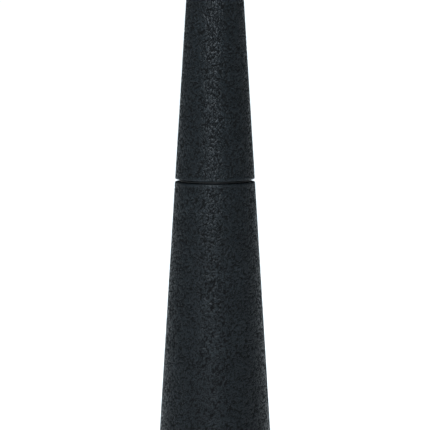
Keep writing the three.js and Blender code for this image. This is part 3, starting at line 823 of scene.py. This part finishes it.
def clip(node, body, gap, facets):
    """A flat open ring with rounded edges. Its gap faces +X and is given in degrees."""
    loop = rounded(outline(node, facets), 0.15 * MM)
    half = math.radians(gap / 2)
    columns = SMALL_COLUMNS
    vertices = []
    for i in range(columns + 1):
        angle = half + (2 * math.pi - 2 * half) * i / columns
        vertices += [(p.x * math.cos(angle), p.x * math.sin(angle), p.y) for p in loop]
    count = len(loop)
    faces = [list(range(count)), [columns * count + i for i in reversed(range(count))]]
    for i in range(columns):
        for j in range(count):
            k = (j + 1) % count
            faces.append([i * count + j, (i + 1) * count + j, (i + 1) * count + k, i * count + k])
    install(make("stamped_" + node, vertices, faces), node, body, STEEL)


def neck_o_ring():
    SECTION = 0.6 * MM
    SIDES = 24
    low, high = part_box("neck_o_ring")
    middle = high.x - SECTION
    z = (low.z + high.z) / 2
    angles = [2 * math.pi * i / SIDES for i in range(SIDES)]
    loop = [Vector((middle + SECTION * math.cos(a), z + SECTION * math.sin(a))) for a in angles]
    install(revolved("moulded_o_ring", loop), "neck_o_ring", "collar", RUBBER)


def grind_spring():
    """A compression spring with close end turns."""
    WIRE = 1 * MM
    RADIUS = 5.4 * MM  # to the middle of the wire
    TURNS = 5.5
    STEPS = 48  # in each turn
    SIDES = 14
    low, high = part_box("grind_spring")
    end_rise = 1.12 * WIRE  # of each end turn
    open_turns = TURNS - 2
    open_rise = (high.z - low.z - WIRE - 2 * end_rise) / open_turns
    rings = []
    for i in range(round(TURNS * STEPS) + 1):
        turn = i / STEPS
        end_share = min(turn, 1) + max(turn - TURNS + 1, 0)
        z = low.z + WIRE / 2 + end_rise * end_share + open_rise * min(max(turn - 1, 0), open_turns)
        angle = 2 * math.pi * turn
        ring = []
        for j in range(SIDES):
            side = 2 * math.pi * j / SIDES
            r = RADIUS + WIRE / 2 * math.cos(side)
            ring.append((r * math.cos(angle), r * math.sin(angle), z + WIRE / 2 * math.sin(side)))
        rings.append(ring)
    vertices, faces = skinned(rings, closed=False)
    last = len(vertices) - SIDES
    ends = [list(reversed(range(SIDES))), [last + j for j in range(SIDES)]]
    piece = make("coiled_spring", vertices, faces + ends)
    piece.data.flip_normals()
    stand_for("grind_spring", piece, BAR)
    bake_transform(piece)


for number in range(1, THREE_FOLD + 1):
    screw(f"housing_screw_{number}", "body")
    screw(f"core_screw_{number}", "head")
drive_shaft()
clip("shaft_clip", "drive", 70, SHAFT_FACETS)
clip("collar_clip", "head", 40, INNER_FACETS)
neck_o_ring()
grind_spring()


# ---------------------------------------- grind adjuster, under the base

NUT_CORNERS = 5 * MM  # radius across corners
NUT_BORE = 3.3 * MM
FIT = 0.3 * MM  # gap between the wheel and what is set into it


def hexagon_radius(angle, corners):
    sixth = math.pi / 3
    return corners * math.cos(sixth / 2) / math.cos(angle % sixth - sixth / 2)


def adjuster_wheel():
    """A fluted wheel, with a pocket for the nut and a seat for the cap."""
    FLUTES = 18
    FLUTE_DEPTH = 0.55 * MM
    BEVEL = 0.8 * MM
    BEVEL_STEPS = 6
    low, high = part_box("adjuster_wheel")
    nut_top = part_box("adjuster_nut")[1].z + FIT
    cap_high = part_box("adjuster_cap")[1]

    def radius_at(angle, z):
        from_end = min(z - low.z, high.z - z)
        drop = BEVEL * (1 - smoothstep(0, BEVEL, from_end)) * 0.9
        flute = max(0, math.cos(FLUTES * angle)) ** 0.6
        return high.x - drop - FLUTE_DEPTH * flute * smoothstep(0, 2 * BEVEL, from_end + 0.2 * BEVEL)

    height = high.z - low.z
    ends = [BEVEL * i / BEVEL_STEPS for i in range(BEVEL_STEPS + 1)] + [2 * BEVEL]
    heights = [low.z + end for end in ends] + [low.z + height / 2] + [high.z - end for end in reversed(ends)]
    knob = polar("moulded_wheel", heights, 12 * FLUTES, radius_at)
    cutters = [
        rod("shaft_hole", NUT_BORE + FIT, low.z - CUT_PAST, high.z + CUT_PAST),
        rod("nut_pocket", NUT_CORNERS + FIT, low.z - CUT_PAST, nut_top, columns=6),
        rod("cap_seat", cap_high.x + FIT, low.z - CUT_PAST, cap_high.z + FIT),
    ]
    install(combined(knob, cutters, "DIFFERENCE"), "adjuster_wheel", "adjuster", BLACK)


def adjuster_nut():
    """A hexagon nut with chamfered corners."""
    low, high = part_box("adjuster_nut")

    def radius_at(angle, z):
        from_end = min(z - low.z, high.z - z)
        return min(hexagon_radius(angle, NUT_CORNERS), 0.9 * NUT_CORNERS + 1.7 * from_end)

    steps = 12
    heights = [low.z + (high.z - low.z) * i / steps for i in range(steps + 1)]
    nut = polar("turned_nut", heights, 3 * SMALL_COLUMNS // 2, radius_at)
    bore = rod("bore", NUT_BORE, low.z - CUT_PAST, high.z + CUT_PAST)
    install(combined(nut, [bore], "DIFFERENCE"), "adjuster_nut", "adjuster", BRASS)


def dome(radius, height, x, y, z):
    """The vertices and faces of a low dome that hangs below a height."""
    STEPS = 5
    COLUMNS = 24
    angles = [math.pi / 2 * i / STEPS for i in range(STEPS + 1)]
    rings = [circle(radius * math.sin(a), z - height * math.cos(a), COLUMNS) for a in angles]
    vertices, faces = skinned(rings, closed=False)
    return [(px + x, py + y, pz) for px, py, pz in vertices], faces


def adjuster_cap():
    """A disc with a row of raised dots that grow from fine to coarse."""
    DOTS = 6
    DOT_CIRCLE = 4.5 * MM
    DOT_HEIGHT = 0.22 * MM
    FIRST_ANGLE = 150  # of the finest dot, in degrees
    STEP_ANGLE = 48
    FINEST = 0.3 * MM  # radius of that dot
    GROWTH = 0.13 * MM  # from each dot to the next
    low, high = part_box("adjuster_cap")
    edge = high.x
    loop = [Vector(p) for p in ((0, low.z), (edge, low.z), (edge, high.z), (0, high.z))]
    disc = rounded(loop, 0.2 * MM)
    vertices, faces = skinned([circle(p.x, p.y, LARGE_COLUMNS) for p in disc], closed=False)
    for i in range(DOTS):
        angle = math.radians(FIRST_ANGLE + STEP_ANGLE * i)
        x = DOT_CIRCLE * math.cos(angle)
        y = DOT_CIRCLE * math.sin(angle)
        dot, dot_faces = dome(FINEST + GROWTH * i, DOT_HEIGHT, x, y, low.z)
        faces += [[index + len(vertices) for index in face] for face in dot_faces]
        vertices += dot
    install(make("moulded_cap", vertices, faces), "adjuster_cap", "adjuster", BLACK)


adjuster_wheel()
adjuster_nut()
adjuster_cap()


# ---------------------------------------- burrs, carried over from the CAD model

for burr in ("stator_ring", "rotor_cone"):
    NODES[burr].data.materials.clear()
    NODES[burr].data.materials.append(CERAMIC)
    softened = NODES[burr].modifiers.new("softened", "BEVEL")
    softened.width = 0.12 * MM
    softened.segments = 2
    softened.limit_method = "ANGLE"


# ---------------------------------------- stage, camera and lights

CAMERA_DISTANCE = 1.8
CAMERA_RISE = 0.149  # of the camera above the seam
VIEW_HEIGHT = 0.2190  # of the picture, at the mill
VIEW_MIDDLE_Z = 0.1277
FLOOR_RINGS = (0, 0.5, 2, 8, 25)  # radii, the last of which is the floor's edge
SENSOR = 0.036
COOL_WHITE = (0.91, 1.0, 1.06)


def aimed(thing, target):
    thing.rotation_mode = "QUATERNION"
    thing.rotation_quaternion = (Vector(target) - thing.location).to_track_quat("-Z", "Y")


def camera():
    data = bpy.data.cameras.new("camera")
    data.lens = SENSOR * 1000 * CAMERA_DISTANCE / VIEW_HEIGHT
    data.sensor_width = SENSOR * 1000
    data.clip_start = 0.05
    data.clip_end = 60
    thing = bpy.data.objects.new("camera", data)
    bpy.context.scene.collection.objects.link(thing)
    thing.location = (0, -CAMERA_DISTANCE, SEAM_Z + CAMERA_RISE)
    aimed(thing, (0, 0, VIEW_MIDDLE_Z))
    bpy.context.scene.camera = thing


def light(kind, name, watts, place, target):
    """A cool white light, aimed at a target. For a sun the strength is in watts per square metre."""
    data = bpy.data.lights.new(name, kind)
    data.energy = watts
    data.color = COOL_WHITE
    thing = bpy.data.objects.new(name, data)
    bpy.context.scene.collection.objects.link(thing)
    thing.location = place
    aimed(thing, target)
    return data


def key_light():
    """A softbox above the camera, a little to the left."""
    DISTANCE = 1.0
    ANGLE = math.radians(-12)
    HEIGHT = 0.55
    WATTS = 17
    place = (DISTANCE * math.sin(ANGLE), -DISTANCE * math.cos(ANGLE), HEIGHT)
    box = light("AREA", "key_light", WATTS, place, (0, 0, 0.17))
    box.shape = "RECTANGLE"
    box.size = 0.7
    box.size_y = 0.5


def top_light():
    """Soft light from above, which keeps the floor white."""
    STRENGTH = 4.3
    sky = light("SUN", "top_light", STRENGTH, (0, 0.2, 1), (0, 0, 0))
    sky.angle = math.radians(40)


def floor():
    surface = Surface("floor_paint", Roughness=0.9, Specular_IOR_Level=0.1)
    tint = surface.noise(0.6, detail=2)
    surface.set("Base Color", surface.blend(tint, (0.86, 0.86, 0.86), (0.88, 0.88, 0.88)))
    rings = [circle(r, 0, LARGE_COLUMNS) for r in FLOOR_RINGS]
    piece = make("floor", *skinned(rings, closed=False))
    piece.data.flip_normals()
    piece.data.materials.append(surface.material)


def world():
    """Very dim light from all round, and plain white where a low view looks past the floor."""
    FILL = 0.02
    BACKDROP = 1.2
    scene = bpy.context.scene
    scene.world = bpy.data.worlds.new("studio")
    scene.world.use_nodes = True
    tree = scene.world.node_tree
    background = tree.nodes["Background"]
    background.inputs["Color"].default_value = (*COOL_WHITE, 1)
    rays = tree.nodes.new("ShaderNodeLightPath")
    strength = tree.nodes.new("ShaderNodeMath")
    strength.operation = "MULTIPLY_ADD"
    strength.inputs[1].default_value = BACKDROP
    strength.inputs[2].default_value = FILL
    tree.links.new(rays.outputs["Is Camera Ray"], strength.inputs[0])
    tree.links.new(strength.outputs["Value"], background.inputs["Strength"])
    scene.view_settings.view_transform = "Standard"


camera()
floor()
world()
key_light()
top_light()
